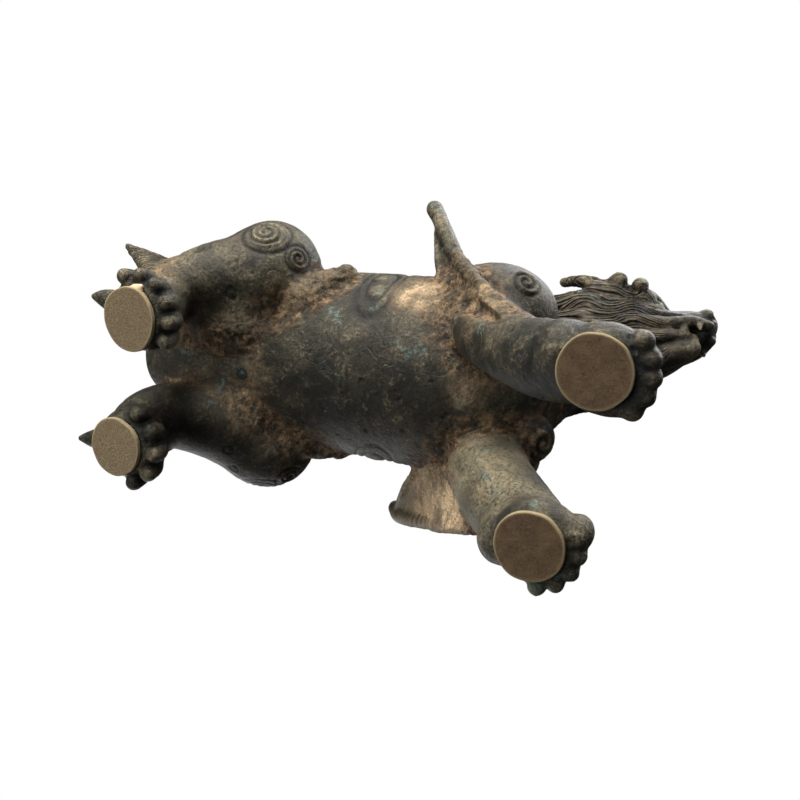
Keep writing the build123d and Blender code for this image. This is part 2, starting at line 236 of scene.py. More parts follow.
def rope(points, radii, steps=5):
    """A rod along a smooth line, with a radius at each of its points."""
    line = curve(points, steps)
    sizes = np.maximum(curve([[r] for r in radii], steps)[:, 0], 0.1)

    def distance(x, y, z):
        parts = zip(line, line[1:], sizes, sizes[1:])
        return reduce(np.minimum, (cone_distance(x, y, z, *part) for part in parts))

    return Shape(distance, (line - sizes[:, None]).min(0), (line + sizes[:, None]).max(0))


def egg(centre, radii, axes=None):
    """An ellipsoid; `axes` gives the directions of its three radii as rows."""
    axes = np.eye(3) if axes is None else np.array(axes)
    radii = np.array(radii, float)
    reach = np.sqrt(((axes * radii[:, None]) ** 2).sum(0))

    def distance(x, y, z):
        q = [along(x, y, z, centre, axis) for axis in axes]
        k0 = np.sqrt(sum((c / r) ** 2 for c, r in zip(q, radii)))
        k1 = np.sqrt(sum((c / r**2) ** 2 for c, r in zip(q, radii)))
        return k0 * (k0 - 1) / np.maximum(k1, 1e-6)

    return Shape(distance, centre - reach, centre + reach)


def sheet_form(edge_a, edge_b, thickness, steps=4):
    """A thin sheet stretched between two curved edges, with round rims."""
    a, b = curve(edge_a, steps), curve(edge_b, steps)
    corners = [(a[i], a[i + 1], b[i]) for i in range(len(a) - 1)]
    corners += [(b[i], b[i + 1], a[i + 1]) for i in range(len(a) - 1)]
    every = np.concatenate([a, b])

    def triangle(x, y, z, p, q, r):
        normal = unit(np.cross(q - p, r - p))
        height = along(x, y, z, p, normal)
        sides = ((p, q), (q, r), (r, p))
        beyond = [along(x, y, z, s, np.cross(e - s, normal)) > 0 for s, e in sides]
        rim = reduce(np.minimum, (cone_distance(x, y, z, s, e, 0, 0) for s, e in sides))
        return np.where(reduce(np.logical_or, beyond), rim, np.abs(height))

    def distance(x, y, z):
        nearest = reduce(np.minimum, (triangle(x, y, z, *corner) for corner in corners))
        return nearest - thickness / 2

    return Shape(distance, every.min(0) - thickness, every.max(0) + thickness)


def barrel(stations):
    """A body of oval sections along y, a little to the right of the middle plane, as it is cast.
    Each station is y, centre z, half width, half height."""
    table = np.array(stations, float)
    fine = curve(table, 8)

    def distance(x, y, z):
        flat = y.reshape(-1)
        mid, wide, tall = (
            np.interp(flat, fine[:, 0], fine[:, k]).reshape(y.shape).astype(np.float32)
            for k in (1, 2, 3)
        )
        wide, tall = np.maximum(wide, 0.5), np.maximum(tall, 0.5)
        x = x + BODY_ASIDE * np.clip((wide - 20) / 20, 0, 1)
        k0 = np.sqrt((x / wide) ** 2 + ((z - mid) / tall) ** 2)
        k1 = np.sqrt((x / wide**2) ** 2 + ((z - mid) / tall**2) ** 2)
        d = k0 * (k0 - 1) / np.maximum(k1, 1e-6)
        return np.maximum(d, np.maximum(fine[0, 0] - y, y - fine[-1, 0]))

    low = P(-table[:, 2].max() - BODY_ASIDE, table[0, 0], (table[:, 1] - table[:, 3]).min())
    high = P(table[:, 2].max(), table[-1, 0], (table[:, 1] + table[:, 3]).max())
    return Shape(distance, low, high)


# ---------------------------------------------------------------- torso
BODY_ASIDE = 3.5                # how far the body lies to the right of the paws' middle, mm
# Place along y, height of the middle, half width and half height, from the chest to the rump
BODY_STATIONS = [
    (-79, 121, 3, 3),
    (-75, 120, 12, 15),
    (-67, 117, 26, 30),
    (-52, 113, 39, 41),
    (-25, 108, 48, 45),
    (10, 104, 49, 44),
    (50, 99, 47, 41.5),
    (95, 91, 42, 38),
    (122, 85, 34, 32),
    (138, 81, 23, 22),
    (146, 79, 10, 10),
    (148, 79, 3, 3),
]


def body_clay():
    """The barrel of the body with its spine and the curls of fur on its chest."""
    clay = Clay(P(-60, -90, 42), P(60, 158, 170))
    clay.merge(barrel(BODY_STATIONS))
    spine = [P(0, y, z) for y, z in ((-45, 152), (0, 146), (50, 139), (90, 128), (125, 112))]
    clay.rope(spine, [6, 7, 7, 7, 6], 8)
    for y in np.arange(-38, 112, 12.0):
        z = np.interp(y, [-45, 0, 50, 90, 125], [156, 151, 144, 133, 116])
        clay.egg(P(0, y, z), (4.5, 5.5, 4.5), 3)
    for side in (RIGHT, LEFT):
        clay.egg(P(side * 19, -66, 96), (13, 11, 14), 4)
    return clay


# ---------------------------------------------------------------- legs
def paw(clay, middle, heading, fan, side, toes, reach, knob):
    """A lion's paw on its pad: a block and knuckled toes set close together, with claws.
    Heading and fan are in degrees, outwards from straight ahead; reach and knob are a toe's
    distance from the middle of the pad and its radius."""
    turn = math.radians(heading)
    ahead = P(math.sin(turn) * side, -math.cos(turn), 0)
    across = P(math.cos(turn) * side, math.sin(turn), 0)
    centre = middle + ahead * 2 + P(0, 0, 10.5)
    clay.egg(centre, (17.0, 17.5, 13), 4, (across, ahead, (0, 0, 1)))
    for index in range(toes):
        bend = math.radians(fan * (index / (toes - 1) - 0.5))
        out = ahead * math.cos(bend) + across * math.sin(bend)
        root = middle + out * 7 + P(0, 0, 19)
        knuckle = middle + out * (reach - knob - 2.2) + P(0, 0, 12)
        tip = middle + out * (reach - knob * 0.8) + P(0, 0, 6)
        clay.rope([root, knuckle, tip], [knob * 0.8, knob, knob * 0.8], 0.9)
        claw = [tip + out * 1.2 + P(0, 0, 0.5), tip + out * (knob * 0.5) - P(0, 0, 2.4)]
        clay.rope(claw, [knob * 0.42, 0.9], 0.4, 3)


def level_sole(clay):
    """Cuts everything below the sole away."""
    slices, (_, _, z) = clay.window(clay.start * VOXEL, clay.stop * VOXEL)
    clay.field[slices] = np.maximum(clay.field[slices], SOLE_Z - z)


def front_leg_clay(side):
    """A stout foreleg that reaches forward from a round shoulder."""
    pad = pad_spot(f"front_{SIDE_NAME[side]}_pad")
    clay = Clay(P(min(0, side * 70), pad[1] - 32, 0), P(max(0, side * 70), 5, 140))
    if side == RIGHT:
        clay.egg(P(-38.5, -41, 103), (24.5, 30, 27), 3)
        limb = [P(-32, -42, 92), P(-34.5, -51, 66), P(-31.5, -70, 45), P(-32.6, -90, 26)]
        clay.rope([*limb, pad + P(0, 2, 13)], [19, 16, 15, 16, 14], 5)
        paw(clay, pad, -2, 82, side, toes=5, reach=23.0, knob=5.0)
        clay.egg(pad + P(4.5, -6, 9), (12.5, 14.5, 9.5), 2)
    else:
        clay.egg(P(33, -40, 104), (23, 29, 28), 3)
        limb = [P(30, -46, 92), P(33, -56, 68), P(35.5, -71, 45), P(37, -86, 27)]
        clay.rope([*limb, pad + P(0, 0, 13)], [20, 19, 18.5, 16.5, 14], 5)
        paw(clay, pad, 30, 98, side, toes=5, reach=21.4, knob=4.7)
        clay.egg(pad + P(-5.5, -15.5, 11), (7.2, 6.4, 9), 1.2)
    clay.egg(pad + P(side * 4, 14.5, 16), (11.5, 10.5, 13.5), 4)
    hollow = turned([P(37, -77, 32), P(42, -56, 50), P(46, -37, 69), P(52, -22, 87)], side)
    clay.rope(hollow, [1.5, 3.6, 5.6, 5], 3.5, cut=True)
    level_sole(clay)
    return clay


def rear_leg_clay(side):
    """A crouching hind leg: round haunch and knee, shank back to the hock, paw forward."""
    pad = pad_spot(f"rear_{SIDE_NAME[side]}_pad")
    clay = Clay(P(min(8, side * 84), 16, 0), P(max(-8, side * 84), pad[1] + 32, 124))
    if side == RIGHT:
        clay.egg(P(-48.5, 75, 83), (27, 25, 26), 3)
        shank = [P(-47, 80, 76), P(-45, 96, 63), P(-39, 109, 48), pad + P(-3, 6, 28)]
        clay.rope([*shank, pad + P(0, 0, 13)], [22, 18.5, 14.5, 13, 13.5], 6)
        paw(clay, pad, 40, 140, side, toes=6, reach=22.5, knob=4.6)
        spur = [pad + P(-4, 12, 9), pad + P(-6, 19, 8), pad + P(-7, 24, 5)]
        curl = [P(-40, 54, 74), P(-44, 47, 78), P(-48, 41, 83), P(-51, 36, 88)]
    else:
        clay.egg(P(43, 74, 82), (23.5, 24, 25), 3)
        shank = [P(40, 80, 76), P(31, 95, 62), P(25, 108, 45), pad + P(-5, 4, 28)]
        clay.rope([*shank, pad + P(0, 0, 13)], [21, 19, 17, 16, 14], 6)
        paw(clay, pad, 5, 130, side, toes=5, reach=23, knob=5.2)
        spur = [pad + P(0, 12, 9), pad + P(1, 19, 8), pad + P(1, 25, 5)]
        curl = [P(36, 56, 76), P(39, 49, 81), P(41, 43, 86), P(42, 38, 91)]
    clay.rope(spur, [6.5, 4.6, 1.6], 2, 3)
    clay.egg(P(side * 33, 92, 92), (24, 28, 26), 12)
    clay.egg(P(side * 23, 90, 64), (17, 24, 15), 10)
    clay.rope(curl, [9, 7.5, 6, 4.4], 3)
    clay.egg(curl[-1] + P(side, -1, 1), (4.8, 5.0, 4.8), 1.0)
    level_sole(clay)
    return clay


def tuft_clay(side):
    """The pointed tuft of fur that sweeps back from a hock, in overlapping strands."""
    pad = pad_spot(f"rear_{SIDE_NAME[side]}_pad")
    root = P(side * 40, pad[1] + 11, 48)
    tip = root + P(side * 18, 33, 2)
    clay = Clay(np.minimum(root, tip) - 18, np.maximum(root, tip) + 16)
    for shift, reach in ((-9, 0.72), (-4.5, 0.88), (0.5, 1.0), (5, 0.9), (9, 0.7)):
        end = root + (tip - root) * reach + P(0, 0, shift * 0.35)
        mid = root + (tip - root) * 0.5 * reach + P(side * 1.5, -2, shift * 0.9)
        clay.rope([root + P(0, 0, shift), mid, end], [5.6, 4.8, 1.8], 0.9)
    return clay


# ---------------------------------------------------------------- shoulder plumes
def plume_clay(side):
    """A thin curved sheet behind the foreleg, whose rim runs out into a round-ended finger."""
    clay = Clay(P(min(side * 26, side * 98), -94, 28), P(max(side * 26, side * 98), 30, 152))
    if side == RIGHT:
        rim = [P(-40, -84, 40), P(-43.5, -66, 52), P(-50.5, -49, 66), P(-62, -24, 93)]
        finger = [P(-57, -35, 81), P(-63, -23, 94), P(-72, -10, 111), P(-80, -1, 122)]
        finger.append(P(-86, 7, 132))
        inner = [P(-36, -78, 44), P(-38, -58, 61), P(-40, -38, 76), P(-47, -18, 92)]
        web = [P(-47, -18, 92), P(-60, -8, 106), P(-74, -1, 120)]
    else:
        rim = [P(42, -80, 38), P(50, -62, 46), P(58, -45, 58), P(67, -26, 78)]
        finger = [P(62, -37, 68), P(72, -15, 90), P(79, 0, 107), P(84, 12, 121), P(82, 16, 126)]
        inner = [P(34, -70, 46), P(36, -46, 64), P(38, -26, 80), P(41, -11, 95)]
        web = [P(41, -11, 95), P(60, 2, 106), P(82, 14, 123)]
    clay.merge(sheet_form([*rim, finger[-2]], [*inner, web[-1]], 3.0), 1)
    clay.rope(rim, [2.2, 2.6, 2.9, 3.2], 1.2)
    clay.rope(finger, [3.0, 3.4, *[4.0] * (len(finger) - 3), 4.4], 2)
    clay.rope(web, [2.6, 2.4, 2.2], 1.5)
    clay.rope(inner, [2.0, 2.6, 2.6, 2.4], 1.5)
    return clay


# ---------------------------------------------------------------- head and neck
HEAD_BASE = P(-20, -85, 153)
HEAD_TURN, HEAD_PITCH, HEAD_ROLL = (math.radians(a) for a in (16, 9, 24))
head_ahead = P(
    -math.cos(HEAD_PITCH) * math.sin(HEAD_TURN),
    -math.cos(HEAD_PITCH) * math.cos(HEAD_TURN),
    math.sin(HEAD_PITCH),
)
head_right = unit(np.cross(head_ahead, P(-math.sin(HEAD_ROLL), 0, math.cos(HEAD_ROLL))))
head_up = np.cross(head_right, head_ahead)
HEAD_AXES = np.array([head_ahead, head_right, head_up])


def H(ahead, right, up):
    """A point of the head, from the middle of the cut where it meets the neck."""
    return HEAD_BASE + np.array([ahead, right, up]) @ HEAD_AXES


def mane_curls():
    """Snail curls on the back of the neck: centre, the way each faces, and radius."""
    curls = []
    for row, (back, count, wide) in enumerate(((-30, 5, 27), (-41, 4, 27), (-51, 3, 25))):
        for index in range(count):
            turn = math.radians(90 + 150 * ((index + 0.5) / count - 0.5))
            out = np.cos(turn) * head_right + np.sin(turn) * head_up
            curls.append((H(back, 0, -3 - 2 * row) + out * wide, out, 7.2 - 0.5 * row))
    return curls


MANE_CURLS = mane_curls()


def neck_clay():
    """The neck, with strands of mane down its sides and snail curls over its back."""
    clay = Clay(P(-72, -112, 84), P(40, -14, 200))
    middle = [P(-2, -46, 126), P(-10, -64, 141), H(2, 0, 0)]
    clay.rope(middle, [30, 27, 24], 4)
    for index in range(13):
        turn = math.radians(-75 + 330 * index / 12)
        out = np.cos(turn) * head_right + np.sin(turn) * head_up
        long = 30 if index % 2 else 38
        strand = [
            H(0, 0, 0) + out * 21,
            H(-long * 0.35, 0, 0) + out * 26.5,
            H(-long * 0.75, 0, -2) + out * 28,
            H(-long, 0, -4) + out * 25.5,
        ]
        clay.rope(strand, [4.6, 5.2, 4.4, 2.6], 1.0)
    for centre, _, size in MANE_CURLS:
        clay.egg(centre, (size, size, size), 1.0)
    return clay


def head_clay():
    """Skull, brows, horn knobs, eyes, muzzle with nostrils, upper lip, fangs and cheek locks."""
    clay = Clay(P(-84, -158, 112), P(26, -62, 204))
    lump = partial(clay.egg, axes=HEAD_AXES)
    lump(H(12, 0, 2), (23, 24, 22), 3)
    lump(H(32, 0, 1), (21, 13, 10.5), 8)
    lump(H(46, 0, 1.5), (10.5, 9.6, 8.2), 5)
    lump(H(53, 0, 4), (5.4, 8.6, 5.4), 2)
    clay.rope([H(18, 0, 20), H(32, 0, 12.5), H(47, 0, 9.5)], [5, 4, 3], 4)
    for s in (-1, 1):
        lump(H(22, s * 16, 13), (9, 7, 6), 3)
        brow = [H(34, s * 6, 14), H(28, s * 15, 17), H(20, s * 20, 17), H(12, s * 23, 18)]
        clay.rope(brow, [3, 4, 3.8, 3], 1.5)
        for ahead, wide, up in ((14, 28.3, 18.5), (24, 24.6, 15.5)):
            knob = H(ahead, s * wide, up)
            clay.rope([H(ahead, s * (wide - 9), up - 4), knob], [4.6, 3.8], 1.2, 3)
            lump(knob, (4.4, 3.6, 4.4), 0.8)
        lump(H(29, s * 13.5, 7.5), (5.2, 4.4, 5), 0.6)
        lump(H(31, s * 17.0, 8), (2.2, 1.6, 2.0), 0.4, cut=True)
        lid = [H(35, s * 11, 4.5), H(29, s * 16.5, 3), H(22, s * 18, 6)]
        clay.rope(lid, [1.5, 1.8, 1.4], 0.8)
        lump(H(53.5, s * 6.2, 4), (4, 3.4, 3.8), 1)
        lump(H(57.6, s * 5.0, 3.2), (2.6, 2, 2), 0.8, cut=True)
        lip = [H(54, s * 4.5, -4), H(46, s * 9.5, -5.5), H(35, s * 12, -7), H(24, s * 16, -9)]
        clay.rope([*lip, H(12, s * 20, -11)], [2.4, 3, 3, 3.4, 3], 1.0)
        whisker = [H(44, s * 10, -1), H(32, s * 14.5, -1.5), H(18, s * 20.5, 0), H(2, s * 25, 3)]
        clay.rope(whisker, [1.6, 2.2, 2.6, 2.2], 0.8)
        for k, ahead in enumerate((49, 42, 34)):
            fang = H(ahead, s * (8 + k), -7)
            clay.rope([fang, fang - head_up * (5.5 - k)], [2, 0.7], 0.5, 2)
        for k in range(5):
            root = H(18 - 2 * k, s * (20.5 - 0.6 * k), 11 - 6 * k)
            mid = H(4 - 2 * k, s * (26 - 0.8 * k), 12 - 7 * k)
            end = H(-12, s * (27 - k), 13 - 8 * k)
            clay.rope([root, mid, end], [3.4, 3.8, 1.8], 0.9)
    return clay


def jaw_clay():
    """The lower jaw, open, with its lip, lower teeth, tongue and a short beard."""
    clay = Clay(P(-60, -150, 96), P(26, -72, 168))
    floor_line = [H(4, 0, -17), H(22, 0, -19), H(36, 0, -17.5), H(43, 0, -15.5)]
    clay.rope(floor_line, [10, 8, 6.4, 5], 3)
    for s in (-1, 1):
        lip = [H(8, s * 13, -15), H(26, s * 11, -16), H(38, s * 7, -13.5), H(45, s * 2.5, -12)]
        clay.rope(lip, [4, 3.2, 2.8, 2.6], 1.2)
        clay.rope([H(41, s * 5.5, -12.5), H(42, s * 6, -7.5)], [1.8, 0.7], 0.5, 2)
    clay.rope([H(16, 0, -11), H(30, 0, -10.5), H(40, 0, -10.5)], [5, 4, 2.8], 1)
    for k, right in enumerate((-10, -5, 0, 5, 10)):
        root = H(30 - abs(right), right, -22)
        clay.rope([root, root + P(0, 4, -6), root + P(0, 11, -8)], [3.6, 3.2, 1.4], 0.9)
    return clay


def ear_clay(side):
    """A narrow ear laid back along the mane."""
    s = -side
    clay = Clay(H(-4, s * 28, 18) - 28, H(-4, s * 28, 18) + 28)
    line = [H(10, s * 22, 15), H(3, s * 27, 19), H(-6, s * 30, 22.5), H(-14, s * 30.5, 23.5)]
    clay.rope(line, [5, 4.4, 3.2, 2.7], 1)
    clay.rope([H(8, s * 28, 18), H(-1, s * 32, 21)], [1.8, 1.2], 1.0, 3, cut=True)
    return clay


def tail_clay():
    """A raised flame tail: overlapping locks that rise from one curled root to a point."""
    clay = Clay(P(-36, 102, 80), P(36, 158, 188))
    stem = [P(0, 118, 94), P(0, 133, 98), P(0, 140, 112), P(0, 142, 128)]
    clay.rope(stem, [14, 16, 13, 9], 4)
    for side in (RIGHT, LEFT):
        clay.egg(P(side * 11, 143, 116), (7.5, 6, 7.5), 1)
    for lean, tall, size in ((-3, 148, 6), (3, 148, 6), (-2, 157, 6), (2, 157, 6), (0, 170, 7)):
        lock = [
            P(lean * 1.5, 139, 112),
            P(lean * 3.4, 144, 112 + (tall - 112) * 0.42),
            P(lean * 3.6, 140, 112 + (tall - 112) * 0.80),
            P(lean * 2.2, 130, tall),
        ]
        clay.rope(lock, [size, size * 1.15, size * 0.8, 1.6], 1.0)
    return clay


CASTINGS = {
    "body_shell": body_clay(),
    "front_right_leg": front_leg_clay(RIGHT),
    "front_left_leg": front_leg_clay(LEFT),
    "rear_right_leg": rear_leg_clay(RIGHT),
    "rear_left_leg": rear_leg_clay(LEFT),
    "neck_mane": neck_clay(),
    "head": head_clay(),
    "lower_jaw": jaw_clay(),
    "right_ear": ear_clay(RIGHT),
    "left_ear": ear_clay(LEFT),
    "right_plume": plume_clay(RIGHT),
    "left_plume": plume_clay(LEFT),
    "right_hock_tuft": tuft_clay(RIGHT),
    "left_hock_tuft": tuft_clay(LEFT),
    "tail": tail_clay(),
}


# ---------------------------------------------------------------- joining the castings
def overlap_of(one, other):
    """The slices of two lumps of clay where both have a field, or None."""
    first = np.maximum(one.start, other.start)
    last = np.minimum(one.stop, other.stop)
    if (first >= last).any():
        return None
    in_one = tuple(slice(a, b) for a, b in zip(first - one.start, last - one.start))
    in_other = tuple(slice(a, b) for a, b in zip(first - other.start, last - other.start))
    return in_one, in_other


def joined(name):
    """The field of one casting inside the statue: blended into its neighbours, cut at the seam.
    Also gives the field of what is nearest beside it, for the masks."""
    own = CASTINGS[name]
    whole = np.full(own.field.shape, FAR, np.float32)
    beside = np.full(own.field.shape, FAR, np.float32)
    for other_name, other in CASTINGS.items():
        both = overlap_of(own, other)
        if both is None:
            continue
        here, there = both
        whole[here] = soft_min(whole[here], other.field[there], SEAM_BLEND)
        if other_name != name:
            beside[here] = np.minimum(beside[here], other.field[there])
    past_seam = (own.field - beside) / 2
    sunk = whole + 0.6 * np.clip(past_seam / SEAM_LAP, 0, 1)
    return np.maximum(sunk, past_seam - SEAM_LAP), beside


def sampled(field, start, points, step=VOXEL):
    """Field values at points, by trilinear interpolation."""
    q = points / step - start
    q = np.clip(q, 0, np.array(field.shape) - 1.001)
    base = q.astype(int)
    total = np.zeros(len(points))
    for step, weight in corner_weights(q - base):
        cell = base + step
        total += weight * field[cell[:, 0], cell[:, 1], cell[:, 2]]
    return total


def box_blur(field, radius, passes=2):
    """A separable box blur, repeated."""
    for _ in range(passes):
        for axis in range(3):
            padded = np.concatenate(
                [np.repeat(field.take([0], axis), radius + 1, axis), field,
                 np.repeat(field.take([-1], axis), radius, axis)], axis
            )
            total = np.cumsum(padded, axis=axis, dtype=np.float32)
            count = field.shape[axis]
            width = 2 * radius + 1
            upper = total.take(range(width, width + count), axis)
            lower = total.take(range(0, count), axis)
            field = (upper - lower) / width
    return field


def shade_grids():
    """Two coarse grids of how much metal is near: fine and wide. Both are 0.5 on flat skin."""
    low = np.min([c.start for c in CASTINGS.values()], axis=0) // BROAD - 8
    high = np.max([c.stop for c in CASTINGS.values()], axis=0) // BROAD + 8
    solid = np.full(high - low, FAR, np.float32)
    for clay in CASTINGS.values():
        skip = (-clay.start) % BROAD
        part = clay.field[skip[0]::BROAD, skip[1]::BROAD, skip[2]::BROAD]
        first = (clay.start + skip) // BROAD - low
        where = tuple(slice(a, a + n) for a, n in zip(first, part.shape))
        solid[where] = np.minimum(solid[where], part)
    step = VOXEL * BROAD
    filled = np.clip(0.5 - solid / step, 0, 1)
    return low, step, box_blur(filled, 1, 2), box_blur(filled, 4, 2)


SHADE_START, SHADE_STEP, SHADE_FINE, SHADE_WIDE = shade_grids()


# ---------------------------------------------------------------- relief: height over the skin
def bump(distance, width):
    """A rounded ridge profile, 1 on its line."""
    return np.exp(-((distance / width) ** 2))


def stroke(points, line, width, height, steps=5):
    """Height of a ridge, or a groove if negative, along a smooth line near the skin."""
    path = curve(line, steps)
    reach = 3 * width
    near = ((points > path.min(0) - reach) & (points < path.max(0) + reach)).all(1)
    result = np.zeros(len(points))
    if not near.any():
        return result
    parts = zip(path, path[1:])
    gaps = (cone_distance(*points[near].T, a, b, 0, 0) for a, b in parts)
    result[near] = height * bump(reduce(np.minimum, gaps), width)
    return result


def around(points, normals, centre, facing):
    """Distance from an axis through the skin and the angle about it, where the skin faces it."""
    facing = unit(np.array(facing, float))
    rel = points - centre
    depth = rel @ facing
    flat = rel - depth[:, None] * facing
    side = unit(np.cross(facing, P(0.3, 0.2, 1)))
    angle = np.arctan2(flat @ np.cross(facing, side), flat @ side)
    shows = np.clip((normals @ facing) * 3 - 0.2, 0, 1) * (np.abs(depth) < 30)
    return np.linalg.norm(flat, axis=1), angle, shows


def ring(points, normals, centre, facing, radius, width, height):
    """A ridge, or a groove if negative, round a point on the skin."""
    r, _, shows = around(points, normals, centre, facing)
    return shows * (height * bump(r - radius, width))


def spiral(points, normals, centre, facing, pitch, reach, height, hand=1):
    """A spiral scroll: ridges and grooves that wind out from a point on the skin."""
    r, angle, shows = around(points, normals, centre, facing)
    turns = r / pitch - hand * angle / (2 * math.pi)
    fade = np.clip((reach - r) / (0.3 * pitch), 0, 1)
    return shows * fade * height * np.cos(2 * math.pi * turns)


KNEE_SCROLL = (P(66, 71, 71), P(0.83, -0.18, -0.52))    # its middle and the way it faces
WORN_SCROLL = 0.35              # depth of the left knee's scroll as a share of the right one's


def flank_boss(r, angle, shows):
    """The boss on each flank, inside two oval grooves."""
    stretch = r * (1 + 0.45 * np.cos(angle * 2 + 0.4))
    inner_groove, outer_groove = -0.7 * bump(stretch - 8, 1.0), -0.55 * bump(stretch - 13.5, 1.1)
    return shows * (inner_groove + outer_groove + 0.6 * bump(stretch, 5))


def relief(points, normals):
    """All the modelled ornament and casting marks, as a height in millimetres."""
    scroll, groove = partial(spiral, points, normals), partial(ring, points, normals)
    h = np.zeros(len(points))
    for side in (RIGHT, LEFT):
        m = np.array([side, 1, 1])
        crisp = 1.0 if side == RIGHT else WORN_SCROLL
        knee, facing = KNEE_SCROLL[0] * m, KNEE_SCROLL[1] * m
        h += scroll(knee, facing, 3.4, 10.0, 0.6 * crisp, side)
        h += groove(knee, facing, 12.5, 1.0, -0.8 * crisp)
        below, facing = P(57, 56, 74) * m, P(0.46, -0.8, -0.38) * m
        h += scroll(below, facing, 3.0, 5.5, 0.5, -side)
        h += groove(below, facing, 7.0, 0.8, -0.6)
        for centre, facing in (
            (P(54, 100, 57), P(0.78, -0.11, -0.62)),
            (P(40, 81, 57), P(0, -0.35, -0.94)),
            (P(51, 80, 59), P(0.37, -0.22, -0.9)),
        ):
            h += groove(centre * m, facing * m, 2.3, 0.7, -0.45)
        flank = around(points, normals, P(46, 15, 90) * m, P(0.89, 0.03, -0.45) * m)
        h += flank_boss(*flank)
        h += scroll(P(56, -58, 92) * m, P(0.95, -0.3, -0.1) * m, 3.6, 8, 0.7, -side)
        for k in range(4):
            flow = [P(60, 3 * k - 36, 92 + 6 * k), P(60, -46, 100 + 6 * k), P(56, -60, 104 + 5 * k)]
            h += stroke(points, turned(flow, side), 1.1, -0.7)
        h += scroll(P(18, -72, 90) * m, P(0.3, -0.8, -0.5) * m, 4.5, 11, 0.8, side)
        for k in range(3):
            fold = [P(56, 7 * k - 22, 98), P(50, 9 * k - 24, 118), P(38, 10 * k - 28, 135)]
            h += stroke(points, turned(fold, side), 1.3, -0.8)
    for centre, facing, size in MANE_CURLS:
        h += scroll(centre + facing * size, facing, 3.2, size, 0.7)
    return h


def fur(name, points):
    """Fine combed hair on the head, mane and tufts, as a height and the phase across strands."""
    if name in ("head", "neck_mane", "right_ear", "left_ear", "lower_jaw"):
        rel = (points - HEAD_BASE) @ HEAD_AXES.T
        turn = np.arctan2(rel[:, 1], rel[:, 2])
        sway = 0.07 * np.sin(rel[:, 0] / 5 + 2 * turn) + 0.10 * noise(points, 11, 71)
        phase = (turn + sway) * 10
        mask = np.clip((34 - rel[:, 0]) / 14, 0, 1)
    elif name.endswith("tuft"):
        phase = points[:, 2] / 2.3 + 0.12 * points[:, 1]
        mask = np.ones(len(points))
    elif name == "tail":
        phase = points[:, 0] / 2.2 + 0.4 * noise(points, 14, 72)
        mask = np.clip((points[:, 2] - 112) / 10, 0, 1)
    else:
        return (np.zeros(len(points)),) * 3
    depth = 0.26 + 0.14 * noise(points, 7, 73)
    return depth * mask * np.cos(2 * math.pi * phase), phase, mask


def weathering(points, near_seam):
    """Uneven casting skin: soft lumps, pits, and granular braze along the seams."""
    h = 0.30 * fractal(points, 14, 11) + 0.10 * noise(points, 3.2, 21)
    pits = np.clip(0.22 - cells(points, 8, 31), 0, 1) / 0.22
    h -= 0.9 * pits * (noise(points, 17, 41) > 0.0)
    grain = noise(points, 2.1, 51) + 0.6 * noise(points, 1.3, 52)
    holes = np.clip(0.30 - cells(points, 3.6, 55), 0, 1) / 0.30
    h += near_seam * (0.42 * grain + 0.5 * noise(points, 5, 53) - 0.9 * holes)
    return h


# How much dust lies on a casting and how far wear brightens it, where not 1 and 0.15. On the front
# left leg, the rear right leg and the left plume the brightening is partly painted light on their
# lit faces, and so is the left plume's extra dust.
LOOK = {
    "head": (0.20, 0.03),
    "neck_mane": (0.26, 0.03),
    "lower_jaw": (0.22, 0.05),
    "right_ear": (0.2, 0.1),
    "left_ear": (0.2, 0.1),
    "front_left_leg": (0.9, 0.80),
    "rear_right_leg": (1.0, 0.34),
    "front_right_leg": (1.0, 0.10),
    "right_plume": (1.0, 0.05),
    "left_plume": (1.6, 0.60),
    "tail": (0.5, 0.15),
    "right_hock_tuft": (0.4, 0.15),
    "left_hock_tuft": (0.4, 0.15),
}


# Patches of pale dust: the casting, the middle of the patch, its radius and how pale it is. The two
# on the left plume are partly painted light on its lit inner face.
CAKED_DUST_AND_PLUME_LIGHT = [
    # painted light on the left plume's lit inner face, partly pale dust
    ("left_plume", P(67, -20, 84), 34, 1.3),
    ("left_plume", P(54, -40, 64), 20, 1.2),
    ("body_shell", P(-46, -6, 84), 15, 0.8),
    ("front_right_leg", P(-40, -52, 56), 13, 0.6),
    ("right_plume", P(-47, -45, 66), 10, 0.5),
    ("body_shell", P(-4, -44, 62), 14, 0.45),
    ("body_shell", P(2, 70, 58), 12, 0.35),
    ("rear_right_leg", P(-36, 50, 72), 12, 0.6),
]


def pale_dust_and_plume_light(name, points):
    """How thick the pale dust lies, from 0 to 1; on the left plume it is partly painted light on
    the lit inner face. The left plume's rim is kept clear of it.
    """
    amount = np.zeros(len(points))
    for piece, middle, radius, strength in CAKED_DUST_AND_PLUME_LIGHT:
        if piece == name:
            away = np.linalg.norm(points - middle, axis=1) / radius
            amount = np.maximum(amount, strength * np.clip(1.4 - 1.2 * away, 0, 1))
    if name == "left_plume":
        rim = curve([P(50, -62, 46), P(62, -37, 68), P(72, -15, 90), P(84, 12, 121)], 6)
        gap = np.min([np.linalg.norm(points - p, axis=1) for p in rim], axis=0)
        amount *= np.clip((gap - 3) / 2, 0, 1)
    return amount * np.clip(0.9 + 0.5 * noise(points, 6, 83), 0, 1.1)


# ---------------------------------------------------------------- meshing
def settled(mesh, node, material):
    """A piece made from a mesh, in the place of its CAD node."""
    piece = bpy.data.objects.new(node.replace("_", "."), mesh)
    bpy.context.scene.collection.objects.link(piece)
    piece.data.materials.append(material)
    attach(piece, "root")
    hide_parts(node)
    return piece


def add_masks(mesh, masks):
    """Puts a value on each vertex under each mask's name, for the materials to read."""
    for mask, values in masks.items():
        layer = mesh.attributes.new(mask, "FLOAT", "POINT")
        layer.data.foreach_set("value", values.astype(np.float32))


